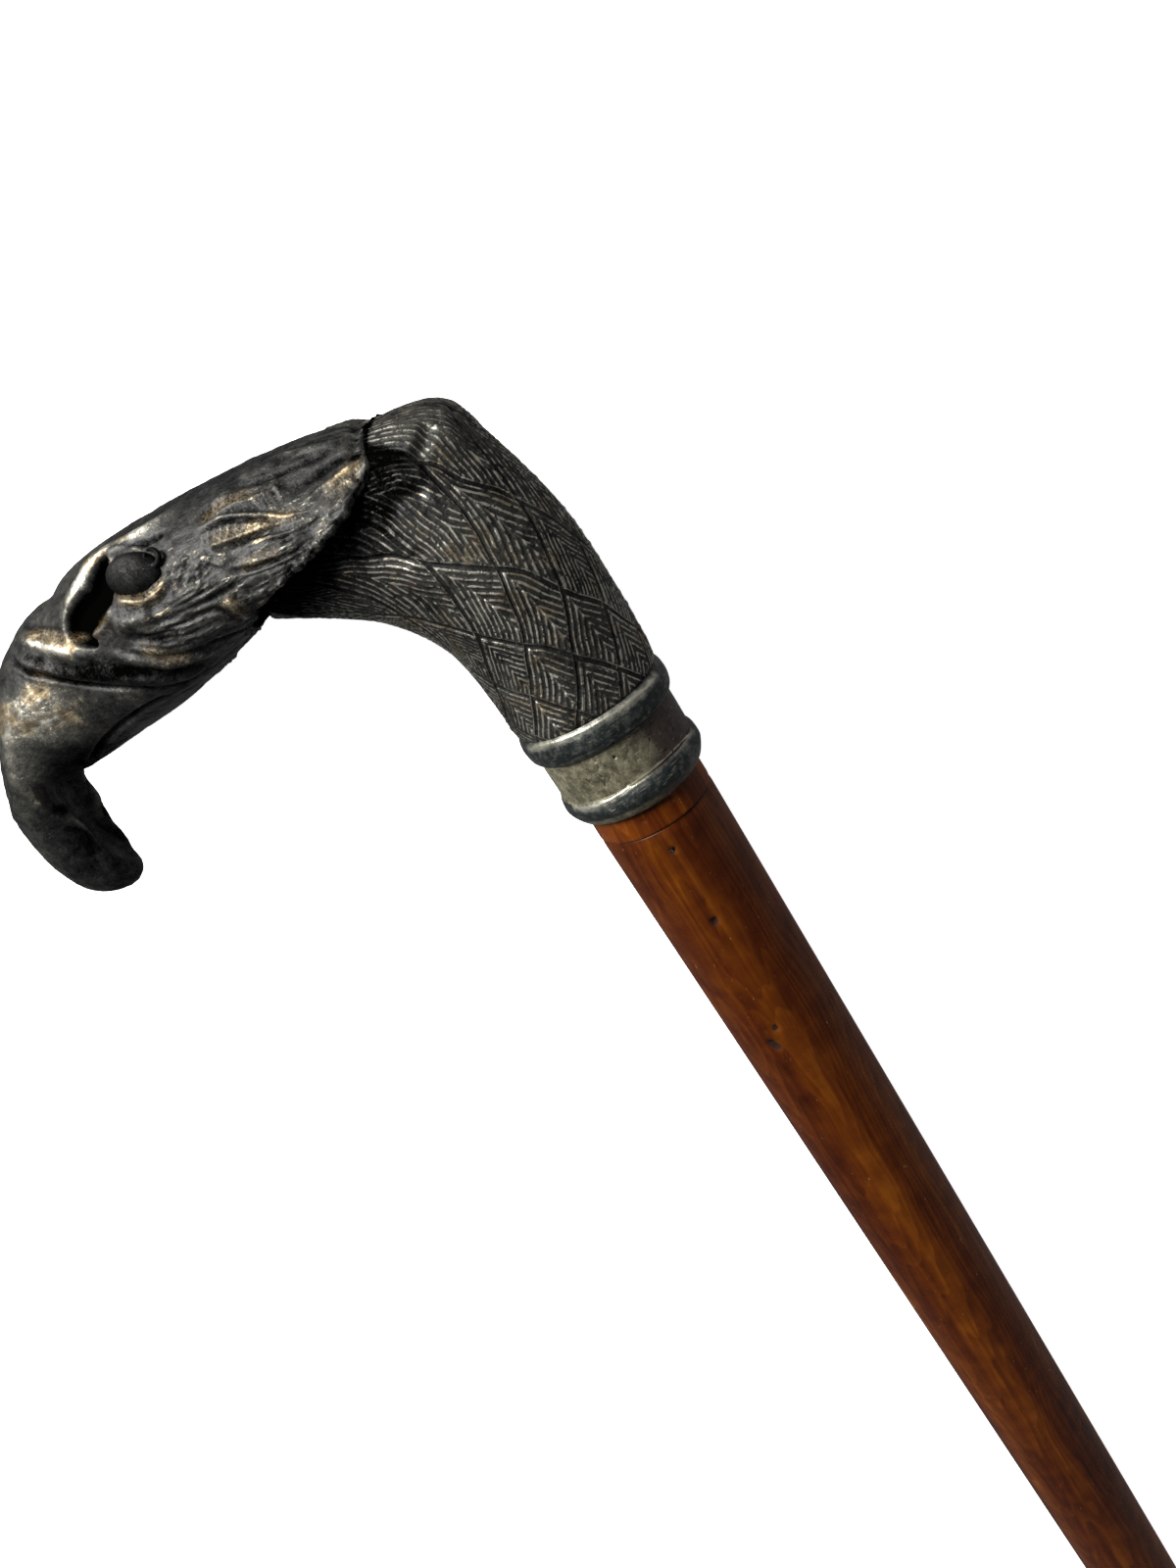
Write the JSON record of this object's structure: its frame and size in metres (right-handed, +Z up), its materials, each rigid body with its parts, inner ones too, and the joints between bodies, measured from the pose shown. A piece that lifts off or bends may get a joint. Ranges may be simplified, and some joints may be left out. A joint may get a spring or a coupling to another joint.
{
  "type": "walking cane with eagle head handle",
  "caption": "Walking cane: tapered hardwood shaft with a cast white-metal handle shaped as a hooked eagle head, a turned collar and a metal ferrule at the tip.",
  "frame": {"origin": "on the floor, in the middle of the cane's outline, with the cane lying on the eagle's right side", "axes": "+X along the shaft towards the ferrule, -Y the way the beak points, +Z up, out of the eagle's left side"},
  "size_m": [0.8394, 0.0964, 0.0309],
  "materials": {
    "white_metal": "cast white metal, darkened in the hollows and rubbed bright on the high parts",
    "collar_metal": "turned white metal with grey and purple tarnish",
    "pitch": "dark pitch that beds the tenon in its socket",
    "hardwood": "red-brown hardwood with dark streaks under an old satin varnish",
    "dowel_wood": "plain pale dowel wood",
    "iron": "dark worn iron",
    "ferrule_brass": "dull worn brass"
  },
  "bodies": {
    "root": {"eagle_head_handle": "white_metal", "collar": "collar_metal", "socket_pitch": "pitch", "wooden_plug": "hardwood", "joint_dowel": "dowel_wood", "joint_pin": "iron", "shaft": "hardwood", "ferrule_sleeve": "ferrule_brass", "ferrule_nail_back": "ferrule_brass", "ferrule_nail_front": "ferrule_brass", "ferrule_tip": "iron"}
  },
  "joints": []
}
